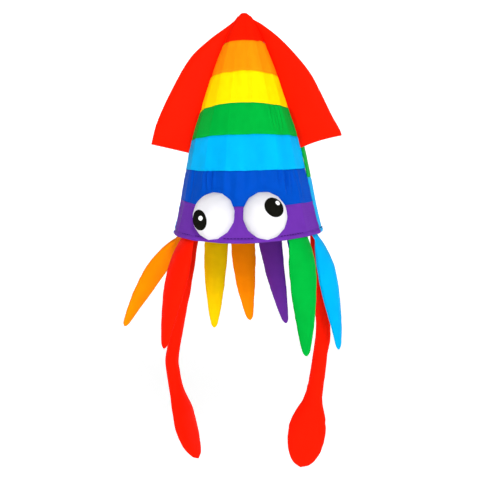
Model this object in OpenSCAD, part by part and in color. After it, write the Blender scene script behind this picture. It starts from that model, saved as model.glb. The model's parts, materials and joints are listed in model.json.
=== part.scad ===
// A rainbow squid costume hat: a foam cone covered in coloured cloth bands, with two fins,
// two stuffed eyes, eight short arms and two long arms that end in clubs.
// Millimetres. The origin is the centre of the head opening, +Z is up, and the face looks
// along -Y. Angles round the hat are measured from the front, positive towards +X.

/* [Cone] */
// Outer radius of the cone at the head opening
rim_r = 97.5; // [96:0.5:99]
// Height of the tip above the head opening
hat_h = 294; // [290:1:298]
// Thickness of the coloured cloth
cloth_t = 1; // [0.8:0.1:1.2]
// Thickness of the foam under the cloth
foam_t = 3.5; // [3:0.5:4]
// Thickness of the lining inside the foam
lining_t = 0.8; // [0.6:0.1:1]
// Angle from the front to each side seam
seam_a = 77; // [74:1:84]

/* [Sweatband] */
// Height of the sweatband
band_h = 30; // [25:1:35]
// Thickness of the sweatband
band_t = 1.5; // [1:0.1:2]

/* [Fins] */
// Thickness of a stuffed fin at its fullest
fin_t = 10; // [8:0.5:12]
// Furthest reach of a fin from the middle of the hat
fin_reach = 127; // [120:1:130]
// Clearance between a fin's root and the cone
fin_gap = 1.5; // [1:0.1:2]

/* [Eyes] */
// Radius of an eye where it is sewn on
eye_r = 29.5; // [28:0.5:30]
// Radius of the ball that the stuffed eye is a cap of
ball_r = 32; // [31:0.5:36]
// Height of the middle of the eyes
eye_z = 32; // [30:0.5:34]
// Angle from the front to the middle of each eye
eye_a = 21; // [20.4:0.2:22]
// Radius of a pupil
pupil_r = 12.8; // [10:0.2:13]
// Radius of the white glint on a pupil
glint_r = 2.8; // [2:0.2:3.5]

/* [Arms] */
// Width of a short arm at its root
arm_w = 37; // [34:0.5:37]
// Thickness of a stuffed short arm at its fullest
arm_t = 18; // [14:0.5:20]
// Width of a long arm at its root
long_w = 37; // [34:0.5:38]
// Length of a long arm from root to tip, measured straight down
long_drop = 318; // [300:1:330]
// Thickness of the cloth sleeves
sleeve_t = 0.8; // [0.6:0.1:1]
// Radius of the circle on which the arms are sewn
root_r = 94; // [93:0.5:95]

/* [Hidden] */
$fn = 96;

// Cone radius as a share of rim_r, at each share of the height
CONE = [[0, 1], [0.14, 0.91], [0.28, 0.83], [0.44, 0.73], [0.575, 0.6], [0.72, 0.456],
        [0.86, 0.29], [0.94, 0.17], [0.98, 0.09], [1, 0]];
CONE_STEPS = [0, 0.07, 0.14, 0.21, 0.28, 0.36, 0.44, 0.575, 0.65, 0.72, 0.79, 0.86, 0.94, 0.98, 1];
EPS = 0.02;
LAYER_GAP = 0.25; // between the layers of the cone, and between the two eyes

// Cloth bands from the hem up: name, height of the lower edge, colour
FRONT = [["purple_band", 0, "rebeccapurple"], ["blue_band", 43, "royalblue"],
         ["sky_band", 88, "deepskyblue"], ["green_band", 130, "limegreen"],
         ["yellow_band", 169, "yellow"], ["orange_band", 211, "orange"],
         ["red_tip", 253, "orangered"]];
BACK = [["sky_back_panel", 0, "deepskyblue"], ["green_back_panel", 77, "limegreen"],
        ["yellow_back_panel", 130, "yellow"], ["orange_back_panel", 183, "orange"],
        ["red_back_panel", 236, "orangered"]];

// Fins: name, side, lower edge at the seam, lower edge at the outer corner, share of fin_reach
FINS = [["left_fin", -1, 111, 123, 0.98], ["right_fin", 1, 116, 130, 1]];
// Reach of a fin's outer edge as a share of fin_reach, at each height
FIN_EDGE = [[120, 1], [132, 1], [154, 0.91], [186, 0.79], [210, 0.69], [234, 0.545],
            [258, 0.37], [282, 0.135], [290, 0.075]];
FIN_TOP = 288;
FIN_SEAM_T = 1.2; // half the thickness of a fin at its edges
FIN_ROWS = 11;
FIN_COLS = 7;

// Eyes: name, side, pupil direction, glint direction, each as [angle from the front, elevation]
EYES = [["left_eye", -1, [-38, -4], [-31, 1]], ["right_eye", 1, [34, 25], [43, 32]]];
FELT_T = 1.2;

// Short arms: name, angle, drop, [outward lean, its curve], [sideways lean, its curve],
// twist, colour
ARMS = [["red_arm", -50, 131, [40, -8], [0, 0], -20, "orangered"],
        ["amber_arm", -88, 120, [92, -17], [0, 0], 38, "darkorange"],
        ["yellow_arm", -145, 141, [12, -2], [1, 0], 15, "gold"],
        ["orange_arm", -169.5, 133, [10, 0], [-2, -8], 0, "darkorange"],
        ["purple_arm", 166.5, 135, [8, 0], [-14, -8], 12, "indigo"],
        ["navy_arm", 139, 138, [24, -4], [-12, 2], 0, "navy"],
        ["sky_arm", 84, 146, [40, -14], [0, 0], 32, "deepskyblue"],
        ["green_arm", 50.5, 140, [10, 2], [3, -8], 34, "limegreen"]];
ARM_TWIST = [[0, 0], [0.35, 1], [1, 1]]; // share of its twist that an arm has at each share of the drop
ARM_TOP = -2; // height of the open end of a sleeve, just under the hem
PIVOT = -4; // height of the line on which an arm swings
FLAT = 0.8; // how much the stuffing is missing at an arm's root
FLAT_RUN = 0.1;
ARM_STEPS = [0, 0.03, 0.08, 0.16, 0.28, 0.44, 0.6, 0.75, 0.87, 0.95, 0.99];
SIDES = 10;

// Long arms: name, angle, outward path at each share of the drop, final twist
LONGS = [["left_tentacle", -116,
          [[0, 0], [0.3, 20], [0.5, 34], [0.6, 38], [0.735, 28], [0.81, 19], [0.86, 15], [0.945, 3.5],
           [1, -6.5]], -7],
         ["right_tentacle", 108,
          [[0, 0], [0.2, 6.5], [0.41, 10], [0.565, 3.5], [0.67, -2.5], [0.82, -12.5], [1, -23.5]], -75]];
// Half width and half thickness in millimetres at each share of the drop
LONG_HALF_W = [[0, 18.5], [0.2, 15.5], [0.4, 12], [0.55, 10.5], [0.66, 11.5], [0.72, 14.5], [0.78, 22],
               [0.85, 26], [0.91, 24], [0.955, 18.5], [0.985, 11], [1, 3]];
LONG_HALF_T = [[0, 2], [0.06, 6], [0.2, 9], [0.55, 9.5], [0.7, 9.5], [0.85, 9], [0.95, 5.5], [1, 2]];
TWIST = [[0, 0], [0.3, 0.05], [0.5, 0.4], [0.65, 0.85], [0.75, 1], [1, 1]];
NECK = 0.61; // share of the drop at which the club bends on the arm
PINCH = 1.4; // how fast the stuffing thickens away from the neck
UPPER_STEPS = [0, 0.015, 0.04, 0.1, 0.2, 0.32, 0.44, 0.55, 0.592, 0.608];
CLUB_STEPS = [0.612, 0.628, 0.67, 0.72, 0.76, 0.8, 0.85, 0.9, 0.94, 0.97, 0.99, 0.998];
GAP = 0.15; // between a cloth sleeve and its stuffing

// Stitches of the hem
STITCHES = 72;
STITCH_Z = 5;
STITCH_R = 0.4;
STITCH_L = 5;
EYE_SPAN = 11; // degrees to each side of an eye's middle in which no stitch shows

function names(list, ends) = [for (row = list, end = ends) str(row[0], end)];

// ---- Curves -----------------------------------------------------------------------------

// Slope of a table of [position, value] rows at row i
function slope(k, i) =
    let (a = max(0, i - 1), b = min(len(k) - 1, i + 1)) (k[b][1] - k[a][1]) / (k[b][0] - k[a][0]);

// Smooth value of a table at t
function smooth(t, k) =
    let (u = min(max(t, k[0][0]), k[len(k) - 1][0]),
         i = max([for (j = [0:len(k) - 2]) u >= k[j][0] ? j : 0]),
         d = k[i + 1][0] - k[i][0],
         s = (u - k[i][0]) / d)
    k[i][1] * (1 + 2 * s) * (1 - s) * (1 - s) + slope(k, i) * d * s * (1 - s) * (1 - s)
    + k[i + 1][1] * s * s * (3 - 2 * s) + slope(k, i + 1) * d * s * s * (s - 1);

// Outward and sideways unit vectors at an angle round the hat
function outward(a) = [sin(a), -cos(a), 0];
function sideways(a) = [cos(a), sin(a), 0];
function unit(v) = v / norm(v);

// ---- Cone -------------------------------------------------------------------------------

function cone_r(z) = rim_r * smooth(z / hat_h, CONE);

// A point on the cone at height z, moved inwards by off, square to the surface
function cone_point(z, off) =
    let (s = (cone_r(min(hat_h, z + 2)) - cone_r(z - 2)) / 4,
         n = z <= 0 ? [-1, 0] : z >= hat_h ? [0, -1] : [-1, s] / norm([1, s]))
    [max(0, cone_r(z) + n.x * off), z + n.y * off];

// Outline of a layer between two depths under the cone's surface, from height a to height b
function layer(a, b, outer, inner) =
    let (between = [for (s = CONE_STEPS) if (s * hat_h > a + 1 && s * hat_h < b - 1) s * hat_h],
         zs = concat([a], between, [b]))
    concat([for (z = zs) cone_point(z, outer)],
           [for (i = [len(zs) - 1:-1:0]) cone_point(zs[i], inner)]);

module full_layer(a, b, outer, inner) { rotate_extrude() polygon(layer(a, b, outer, inner)); }

// A cloth band: the front ones span the angle between the side seams, the back ones the rest
module cloth_band(a, b, front) {
    from = front ? -90 - seam_a : seam_a - 90;
    rotate([0, 0, from])
        rotate_extrude(angle = front ? 2 * seam_a : 360 - 2 * seam_a)
            polygon(layer(a, b, 0, cloth_t));
}

module bands(list, front) {
    for (i = [0:len(list) - 1])
        color(list[i][2])
                cloth_band(list[i][1], i == len(list) - 1 ? hat_h : list[i + 1][1], front);
}

// Depths of the faces of the layers under the cone's surface
foam_out = cloth_t + LAYER_GAP;
foam_in = foam_out + foam_t;
lining_in = foam_in + lining_t;
band_out = lining_in + LAYER_GAP;

module foam_cone() { color("ivory") full_layer(0, hat_h - 3, foam_out, foam_in); }

module lining() {
    color("dimgray")
        full_layer(0, hat_h - 3, foam_in, lining_in);
}

module sweatband() {
    color("black") full_layer(1, band_h, band_out, band_out + band_t);
}

// The stitches pass under the eyes, so none is made there. i = 0 is at the front.
function under_eye(i) = let (a = i * 360 / STITCHES) abs(min(a, 360 - a) - eye_a) < EYE_SPAN;

module hem_stitching() {
    color("mediumpurple")
        for (i = [0:STITCHES - 1])
            if (!under_eye(i))
                rotate([0, 0, i * 360 / STITCHES])
                    translate([0, -cone_r(STITCH_Z) - STITCH_R - 0.1, STITCH_Z])
                        rotate([0, 90, 0])
                            cylinder(r = STITCH_R, h = STITCH_L, center = true, $fn = 16);
}

// The cone as a solid body, grown by g and run down past the head opening
module cone_solid(g) {
    rotate_extrude()
        polygon(concat([[0, -ball_r], [rim_r + g, -ball_r]],
                       [for (s = CONE_STEPS) cone_point(s * hat_h, -g)]));
}

// ---- Fins -------------------------------------------------------------------------------

// A point of a fin: u runs up its seam, v from the seam to the outer edge, y is across it
function fin_point(fin, u, v, y) =
    let (low = fin[2] + v * (fin[3] - fin[2]),
         z = low + u * (FIN_TOP - low),
         root = cone_r(z) + fin_gap,
         x = root + v * (max(fin_reach * fin[4] * smooth(z, FIN_EDGE), root + 1) - root),
         a = fin[1] * seam_a)
    outward(a) * x + sideways(a) * y + [0, 0, z];

// Half the thickness of a fin at u, v
function fin_half(u, v) =
    FIN_SEAM_T + (fin_t / 2 - FIN_SEAM_T) * pow(max(0, sin(180 * u) * sin(180 * v)), 0.6);

// A sheet of two facing grids of points, closed round its edge
module slab(top, bottom, rows, cols) {
    n = rows * cols;
    points = concat(top, bottom);
    edge = concat([for (c = [0:cols - 1]) c], [for (r = [1:rows - 1]) r * cols + cols - 1],
                  [for (c = [cols - 2:-1:0]) (rows - 1) * cols + c],
                  [for (r = [rows - 2:-1:1]) r * cols]);
    m = len(edge);
    grid = [for (r = [0:rows - 2], c = [0:cols - 2], h = [0, 1])
                let (p = r * cols + c, q = p + cols)
                h == 0 ? [p, p + 1, q] : [p + 1, q + 1, q]];
    rim = [for (i = [0:m - 1], h = [0, 1])
               let (p = edge[i], q = edge[(i + 1) % m])
               h == 0 ? [p, p + n, q] : [q, p + n, q + n]];
    polyhedron(points, concat(grid, [for (f = grid) [f[0] + n, f[2] + n, f[1] + n]], rim));
}

// A slab of a fin: high and low are functions that turn half the thickness at a spot into
// the two sides of the slab there, and skip is how many rows it leaves out at each edge
module fin_slab(fin, high, low, skip) {
    spots = [for (r = [skip:FIN_ROWS - 1 - skip], c = [skip:FIN_COLS - 1 - skip])
                 [r / (FIN_ROWS - 1), c / (FIN_COLS - 1)]];
    slab([for (p = spots) fin_point(fin, p[0], p[1], high(fin_half(p[0], p[1])))],
         [for (p = spots) fin_point(fin, p[0], p[1], low(fin_half(p[0], p[1])))],
         FIN_ROWS - 2 * skip, FIN_COLS - 2 * skip);
}

// One of a fin's two cloth faces: side is 1 for the face that looks along sideways()
module fin_cloth(fin, side) {
    skin = FIN_SEAM_T - EPS;
    color("orangered")
        if (side > 0) fin_slab(fin, function (h) h, function (h) h - skin, 0);
        else fin_slab(fin, function (h) skin - h, function (h) -h, 0);
}

module fin_filling(fin) {
    off = FIN_SEAM_T + GAP;
    color("white") fin_slab(fin, function (h) h - off, function (h) off - h, 1);
}

// ---- Eyes -------------------------------------------------------------------------------

function eye_centre(side) =
    let (p = cone_point(eye_z, sqrt(ball_r * ball_r - eye_r * eye_r)))
    outward(side * eye_a) * p.x + [0, 0, p.y];

module at_eye(eye) { translate(eye_centre(eye[1])) children(); }

// Points the +Z axis at an angle from the front and an elevation
module facing(direction) { rotate([0, 90 - direction[1], direction[0] - 90]) children(); }

// The ball of an eye, cut by depth all round and flat where it meets the other eye
module eye_ball(eye, depth) {
    block = 4 * ball_r;
    intersection() {
        at_eye(eye) sphere(ball_r - depth);
        translate([eye[1] * (LAYER_GAP + depth + block / 2), -block / 2, 0])
            cube(block, center = true);
    }
}

module eye_cloth(eye) {
    color("white")
        difference() {
            eye_ball(eye, 0);
            eye_ball(eye, cloth_t);
            cone_solid(0.05);
        }
}

module eye_filling(eye) {
    color("white")
        difference() {
            eye_ball(eye, cloth_t + GAP);
            cone_solid(0.05 + GAP);
        }
}

// A disc that lies on the ball, from radius r up, t thick and as wide as its own radius says
module on_ball(eye, direction, disc_r, r, t) {
    at_eye(eye)
        intersection() {
            difference() {
                sphere(r + t);
                sphere(r);
            }
            facing(direction) cylinder(r = disc_r, h = r + 2 * t);
        }
}

module eye_pupil(eye) { color("black") on_ball(eye, eye[2], pupil_r, ball_r + EPS, FELT_T); }

module eye_glint(eye) {
    color("white") on_ball(eye, eye[3], glint_r, ball_r + FELT_T + 2 * EPS, FELT_T / 2);
}

// ---- Arms -------------------------------------------------------------------------------

// A ring of an arm: centre, wide direction, thin direction, half width, half thickness
function ring(c, w, n, hw, ht) =
    [for (k = [0:SIDES - 1]) c + w * hw * cos(360 * k / SIDES) + n * ht * sin(360 * k / SIDES)];

function tube_faces(first, rings, out) =
    [for (i = [0:rings - 2], k = [0:SIDES - 1], h = [0, 1])
         let (a = first + i * SIDES + k, b = first + i * SIDES + (k + 1) % SIDES,
              f = h == 0 ? [a, a + SIDES, b] : [b, a + SIDES, b + SIDES])
         out ? f : [f[0], f[2], f[1]]];
function cap(first) = [for (k = [0:SIDES - 1]) first + k];
function back_cap(first) = [for (k = [SIDES - 1:-1:0]) first + k];
function flat_list(lists) = [for (l = lists) each l];

// A solid through a list of rings
module loft(rings) {
    n = len(rings);
    polyhedron(flat_list(rings),
               concat([cap(0)], tube_faces(0, n, true), [back_cap((n - 1) * SIDES)]));
}

// A sleeve between two lists of rings, open at the first ring and closed at the last
module sleeve(outer, inner) {
    n = len(outer);
    m = len(inner);
    start = n * SIDES;
    mouth = [for (k = [0:SIDES - 1], h = [0, 1])
                 let (a = k, b = (k + 1) % SIDES)
                 h == 0 ? [a, b, start + a] : [b, start + b, start + a]];
    polyhedron(flat_list(concat(outer, inner)),
               concat(tube_faces(0, n, true), [back_cap((n - 1) * SIDES)],
                      tube_faces(start, m, false), [cap(start + (m - 1) * SIDES)], mouth));
}

// Rings at the given shares of an arm's drop, each thinner than the arm by cut all round.
// frame(t) gives centre, wide direction and thin direction, and half(t) both half sizes.
function rings(ts, frame, half, cut) =
    [for (t = ts) let (f = frame(t), h = half(t))
         ring(f[0], f[1], f[2], max(0.2, h[0] - cut), max(0.2, h[1] - cut))];

// Centre, wide and thin direction of a curve at t, with the wide direction twisted round it
function frame_of(centre, a, t, twist) =
    let (along = unit(centre(t + 0.01) - centre(t - 0.01)),
         w = unit(sideways(a) - along * (sideways(a) * along)),
         n = cross(along, w))
    [centre(t), w * cos(twist) + n * sin(twist), n * cos(twist) - w * sin(twist)];

function arm_centre(arm, t) =
    outward(arm[1]) * (root_r + arm[3][0] * t + arm[3][1] * t * t)
    + sideways(arm[1]) * (arm[4][0] * t + arm[4][1] * t * t) + [0, 0, ARM_TOP - arm[2] * t];
function arm_frame(arm, t) =
    frame_of(function (s) arm_centre(arm, s), arm[1], t, arm[5] * smooth(t, ARM_TWIST));
function taper(t) = pow(max(0, 1 - t * t), 0.75);
function arm_half(t) =
    [arm_w / 2 * taper(t), arm_t / 2 * taper(t) * (1 - FLAT * exp(-t / FLAT_RUN))];

function arm_rings(arm, ts, cut) =
    rings(ts, function (t) arm_frame(arm, t), function (t) arm_half(t), cut);

module arm_cloth(arm) {
    color(arm[6])
        sleeve(arm_rings(arm, ARM_STEPS, 0), arm_rings(arm, inside(ARM_STEPS), sleeve_t));
}

module arm_filling(arm) {
    color("white") loft(arm_rings(arm, stuffed(ARM_STEPS), sleeve_t + GAP));
}

// The steps that the inner face of a sleeve uses, and those that its stuffing uses
function inside(ts) = [for (i = [0:len(ts) - 2]) ts[i]];
function stuffed(ts) = [for (i = [2:len(ts) - 3]) ts[i]];

function long_centre(arm, t) =
    outward(arm[1]) * (root_r + smooth(t, arm[2])) + [0, 0, ARM_TOP - long_drop * t];
function long_frame(arm, t) =
    frame_of(function (s) long_centre(arm, s), arm[1], t, arm[3] * smooth(t, TWIST));
function long_half(t) =
    [smooth(t, LONG_HALF_W) * long_w / 37,
     min(smooth(t, LONG_HALF_T), 0.3 + PINCH * abs(t - NECK) * long_drop)];

function long_rings(arm, ts, cut) =
    rings(ts, function (t) long_frame(arm, t), function (t) long_half(t), cut);

module long_cloth(arm, ts) {
    color("orangered") sleeve(long_rings(arm, ts, 0), long_rings(arm, inside(ts), sleeve_t));
}

module long_filling(arm, ts) {
    color("white") loft(long_rings(arm, stuffed(ts), sleeve_t + GAP));
}

// ---- The hat ----------------------------------------------------------------------------

foam_cone();
lining();
sweatband();
hem_stitching();
bands(FRONT, true);
bands(BACK, false);
for (fin = FINS) {
    fin_cloth(fin, -fin[1]);
    fin_cloth(fin, fin[1]);
    fin_filling(fin);
}
for (eye = EYES) {
    eye_cloth(eye);
    eye_filling(eye);
    eye_pupil(eye);
    eye_glint(eye);
}
for (arm = ARMS) {
    arm_cloth(arm);
    arm_filling(arm);
}
for (arm = LONGS) {
    long_cloth(arm, UPPER_STEPS);
    long_filling(arm, UPPER_STEPS);
    long_cloth(arm, CLUB_STEPS);
    long_filling(arm, CLUB_STEPS);
}
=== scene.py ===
"""The looks of a rainbow squid costume hat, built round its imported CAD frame.

Everything is in metres. The origin is the centre of the head opening, +Z is up and the face
looks along -Y. Angles round the hat are measured from the front, positive towards +X.
"""

import json
import math

import bpy
import numpy as np
from mathutils import Matrix, Vector


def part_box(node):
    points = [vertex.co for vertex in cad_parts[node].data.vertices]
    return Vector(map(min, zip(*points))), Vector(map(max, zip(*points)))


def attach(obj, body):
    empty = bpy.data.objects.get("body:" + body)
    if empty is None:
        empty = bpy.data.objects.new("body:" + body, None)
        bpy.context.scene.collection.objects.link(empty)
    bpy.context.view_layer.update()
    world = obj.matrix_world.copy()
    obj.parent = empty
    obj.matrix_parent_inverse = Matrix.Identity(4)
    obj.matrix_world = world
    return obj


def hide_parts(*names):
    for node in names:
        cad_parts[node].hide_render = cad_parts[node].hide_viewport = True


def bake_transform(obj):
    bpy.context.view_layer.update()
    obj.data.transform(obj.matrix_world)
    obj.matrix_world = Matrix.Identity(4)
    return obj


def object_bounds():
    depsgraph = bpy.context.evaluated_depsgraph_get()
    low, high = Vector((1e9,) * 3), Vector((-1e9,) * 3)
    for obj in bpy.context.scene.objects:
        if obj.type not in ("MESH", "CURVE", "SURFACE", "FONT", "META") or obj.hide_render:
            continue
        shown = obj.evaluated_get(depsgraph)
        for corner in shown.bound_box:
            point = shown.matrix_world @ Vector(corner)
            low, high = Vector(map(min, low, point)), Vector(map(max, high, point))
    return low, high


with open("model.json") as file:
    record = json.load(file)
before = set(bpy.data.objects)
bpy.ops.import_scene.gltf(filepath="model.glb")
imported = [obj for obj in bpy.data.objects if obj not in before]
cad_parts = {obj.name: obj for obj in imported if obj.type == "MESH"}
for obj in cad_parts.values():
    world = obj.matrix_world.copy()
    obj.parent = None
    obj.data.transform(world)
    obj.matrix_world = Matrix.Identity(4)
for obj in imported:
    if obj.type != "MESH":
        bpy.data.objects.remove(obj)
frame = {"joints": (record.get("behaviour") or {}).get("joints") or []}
CAD_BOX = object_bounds()
MM = 0.001
JOINTS = {j["child"]: j for j in frame["joints"]}

# ---- Sizes, from the frame ------------------------------------------------------------------

RIM_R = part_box("sky_back_panel")[1].x
HAT_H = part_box("red_tip")[1].z
HEM_STITCH_Z = (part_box("hem_stitching")[0].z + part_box("hem_stitching")[1].z) / 2
SWEATBAND_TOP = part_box("sweatband")[1].z
SEAM_ANGLE = math.atan2(JOINTS["right_fin"]["pos_m"][0], -JOINTS["right_fin"]["pos_m"][1])

# ---- Sizes of the parts ---------------------------------------------------------------------

# Cone radius as a share of the rim's, at each share of the height
CONE = [(0, 1), (0.14, 0.91), (0.28, 0.83), (0.44, 0.73), (0.575, 0.6), (0.72, 0.456),
        (0.86, 0.29), (0.94, 0.17), (0.98, 0.09), (0.991, 0.064), (0.997, 0.036), (1, 0)]
TIP_GAP = 0.1 * MM  # how far below the tip the red cloth stops
FRONT_BANDS = ["purple_band", "blue_band", "sky_band", "green_band", "yellow_band",
               "orange_band", "red_tip"]
BACK_BANDS = ["sky_back_panel", "green_back_panel", "yellow_back_panel", "orange_back_panel",
              "red_back_panel"]
SKIN = 0.8 * MM  # thickness of a cloth

FIN_REACH = 127 * MM
# Outer edges of the fins: height in metres, share of the fin's own reach
LEFT_EDGE = [(0.123, 1), (0.150, 0.94), (0.190, 0.79), (0.235, 0.575), (0.258, 0.38),
             (0.277, 0.17), (0.285, 0.09), (0.290, 0.05)]
RIGHT_EDGE = [(0.120, 1), (0.132, 1), (0.154, 0.91), (0.186, 0.79), (0.210, 0.69), (0.234, 0.545),
              (0.258, 0.37), (0.277, 0.19), (0.285, 0.09), (0.290, 0.05)]
# Fins: side, lower edge at the seam, lower edge at the outer corner, how much that edge bows,
# share of the full reach, outer edge
FINS = {
    "left_fin": (-1, 111 * MM, 123 * MM, 0, 0.98, LEFT_EDGE),
    "right_fin": (1, 115 * MM, 129 * MM, 1.5 * MM, 1, RIGHT_EDGE),
}
FIN_TOP = 289 * MM
FIN_EDGE_HALF = 0.9 * MM  # half the thickness at the sewn edges
FIN_HALF = 4.6 * MM  # half the thickness where it is fullest

# Eyes: angle, pupil direction and glint direction, as degrees from the front and up
EYES = {"left_eye": (-21, (-38, -4), (-28.5, 1)), "right_eye": (21, (34, 25), (43, 32))}
EYE_Z = 32 * MM
EYE_R = 29.5 * MM
EYE_HALF_W = 28.5 * MM
EYE_HALF_H = 30.5 * MM
EYE_GATHERS = 13  # the sewn rim is drawn into this many nearly straight sides
BALL_R = 32 * MM
PUPIL_R = 12.8 * MM
GLINT_R = 2.8 * MM

# Short arms: outward lean and its curve, sideways lean and its curve, in millimetres over the
# whole drop, and twist in degrees
ARMS = {
    "red_arm": (40, -8, 0, 0, -20),
    "amber_arm": (92, -17, 0, 0, 38),
    "yellow_arm": (12, -2, 1, 0, 15),
    "orange_arm": (10, 0, -2, -8, 0),
    "purple_arm": (8, 0, -14, -8, 12),
    "navy_arm": (24, -4, -12, 2, 0),
    "sky_arm": (40, -14, 0, 0, 32),
    "green_arm": (10, 2, 3, -8, 34),
}
ARM_TOP = -2 * MM
ROOT_R = 94 * MM  # the radius that a sleeve's top is bent to
ROOT_UP = 4 * MM  # how far a sleeve runs up inside the hem
ROOT_IN = 0.35  # how fast it leans in there
ROOT_LEAN = 40  # the most of a short arm's lean that its root has inside the hem
ARM_HALF_W = 18.5 * MM
ARM_HALF_T = 9 * MM
ARM_END = 0.95  # share of the drop from which the tip is rounded
ARM_TWIST = [(0, 0), (0.35, 1), (1, 1)]

# Long arms: outward path in millimetres at each share of the drop, final twist in degrees
LONGS = {
    "left_tentacle": ([(0, 0), (0.3, 20), (0.5, 34), (0.6, 38), (0.735, 28), (0.81, 19), (0.86, 15),
                       (0.945, 3.5), (1, -6.5)], -7),
    "right_tentacle": ([(0, 0), (0.2, 6.5), (0.41, 10), (0.565, 3.5), (0.67, -2.5), (0.82, -12.5),
                        (1, -23.5)], -75),
}
# Half widths and half thicknesses in millimetres at each share of the drop
LONG_HALF_W = [(0, 18.5), (0.2, 15.5), (0.4, 12), (0.55, 10.5), (0.66, 11.5), (0.72, 14.5),
               (0.78, 22), (0.85, 26), (0.91, 24), (0.955, 18.5), (0.985, 11), (1, 3)]
LONG_HALF_T = [(0, 2), (0.06, 6), (0.2, 9), (0.55, 9.5), (0.7, 9.5), (0.85, 9), (0.95, 5.5), (1, 2)]
LONG_END = 0.985  # share of the drop from which the club's tip is rounded
LONG_TWIST = [(0, 0), (0.3, 0.05), (0.5, 0.4), (0.65, 0.85), (0.75, 1), (1, 1)]
SLEEVE_END = 0.54  # share of the drop at which the club's sleeve takes over from the arm's
# The lengthwise fold of the right long arm: turn and spread in degrees, first and last share of
# the drop, depth
LONG_CREASE = (90, 26, 0.1, 0.42, 3.2 * MM)
SLEEVE_LAP = 0.01  # how far the club's sleeve reaches up into the arm's

# ---- Curves and noise -----------------------------------------------------------------------


def smooth(t, table):
    """Smooth values of a table of (position, value) rows at t."""
    x, y = np.array(table, float).T
    before, after = np.r_[0, 0:len(x) - 1], np.r_[1:len(x), len(x) - 1]
    slope = (y[after] - y[before]) / (x[after] - x[before])
    t = np.clip(t, x[0], x[-1])
    i = np.clip(np.searchsorted(x, t, "right") - 1, 0, len(x) - 2)
    d = x[i + 1] - x[i]
    s = (t - x[i]) / d
    return (y[i] * (1 + 2 * s) * (1 - s) ** 2 + slope[i] * d * s * (1 - s) ** 2
            + y[i + 1] * s**2 * (3 - 2 * s) + slope[i + 1] * d * s**2 * (s - 1))


def soft_noise(x, y, seed):
    """Smooth random values from -1 to 1 with features about one unit wide."""
    x, y = np.broadcast_arrays(np.asarray(x, float), np.asarray(y, float))
    ix, iy = np.floor(x), np.floor(y)
    fx, fy = x - ix, y - iy
    fx, fy = fx**2 * (3 - 2 * fx), fy**2 * (3 - 2 * fy)

    def corner(a, b):
        v = np.sin(a * 127.1 + b * 311.7 + seed * 74.7) * 43758.5453
        return (v - np.floor(v)) * 2 - 1

    low = corner(ix, iy) * (1 - fx) + corner(ix + 1, iy) * fx
    high = corner(ix, iy + 1) * (1 - fx) + corner(ix + 1, iy + 1) * fx
    return low * (1 - fy) + high * fy


def bell(d, width):
    """1 where d is 0, falling away over width."""
    return np.exp(-((d / width) ** 2))


def fade(d, width):
    """0 at d = 0, rising to 1 over width."""
    return 1 - np.exp(-np.maximum(d, 0) / width)


def outward(a):
    return np.stack([np.sin(a), -np.cos(a), np.zeros_like(a)], axis=-1)


def sideways(a):
    return np.stack([np.cos(a), np.sin(a), np.zeros_like(a)], axis=-1)


# ---- Meshes ---------------------------------------------------------------------------------


def add_mesh(name, points, faces, uvs, material):
    """A smooth-shaded object with one UV, in metres of cloth, for each point."""
    mesh = bpy.data.meshes.new(name)
    mesh.from_pydata([tuple(p) for p in points], [], [tuple(f) for f in faces])
    layer = mesh.uv_layers.new(name="cloth")
    index = np.zeros(len(mesh.loops), np.int32)
    mesh.loops.foreach_get("vertex_index", index)
    layer.data.foreach_set("uv", np.asarray(uvs, np.float32)[index].ravel())
    mesh.polygons.foreach_set("use_smooth", np.ones(len(mesh.polygons), bool))
    mesh.materials.append(material)
    mesh.update()
    piece = bpy.data.objects.new(name, mesh)
    bpy.context.scene.collection.objects.link(piece)
    return piece


def quads(rows, cols, first=0, wrap=False, flip=False):
    """The faces of a grid of points."""
    r, c = np.meshgrid(np.arange(rows - 1), np.arange(cols if wrap else cols - 1), indexing="ij")
    p = first + r * cols + c
    q = first + r * cols + (c + 1) % cols
    f = np.stack([p, q, q + cols, p + cols], axis=-1).reshape(-1, 4)
    return f[:, ::-1] if flip else f


def shell(name, outer, inner, uv, material):
    """A closed sheet of cloth between two grids of points of the same shape."""
    rows, cols = outer.shape[:2]
    n = rows * cols
    edge = np.r_[np.arange(cols), cols * np.arange(2, rows + 1) - 1,
                 n - 2 - np.arange(cols - 1), cols * np.arange(rows - 2, 0, -1)]
    after = np.roll(edge, -1)
    rim = np.stack([edge, edge + n, after + n, after], axis=-1)
    faces = np.concatenate([quads(rows, cols), quads(rows, cols, n, flip=True), rim])
    points = np.concatenate([outer.reshape(-1, 3), inner.reshape(-1, 3)])
    uvs = np.concatenate([uv.reshape(-1, 2)] * 2)
    return add_mesh(name, points, faces, uvs, material)


def tube(name, grid, uv, material):
    """A closed solid through rings of points, with a point at each end."""
    rows, cols = grid.shape[:2]
    ends = np.stack([grid[0].mean(0), grid[-1].mean(0)])
    points = np.concatenate([grid.reshape(-1, 3), ends])
    uvs = np.concatenate([uv.reshape(-1, 2), uv[0, :1], uv[-1, :1]])
    k = np.arange(cols)
    first, last = rows * cols, rows * cols + 1
    start = np.stack([(k + 1) % cols, k, np.full(cols, first)], axis=-1)
    end = np.stack([k, (k + 1) % cols, np.full(cols, last)], axis=-1)
    end[:, :2] += (rows - 1) * cols
    faces = [*quads(rows, cols, wrap=True), *start, *end]
    return add_mesh(name, points, faces, uvs, material)


# ---- Materials ------------------------------------------------------------------------------


def linear(colour):
    """Linear values of an sRGB colour given as 0 to 255."""
    c = np.array(colour) / 255
    return tuple(np.where(c <= 0.04045, c / 12.92, ((c + 0.055) / 1.055) ** 2.4)) + (1,)


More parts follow.
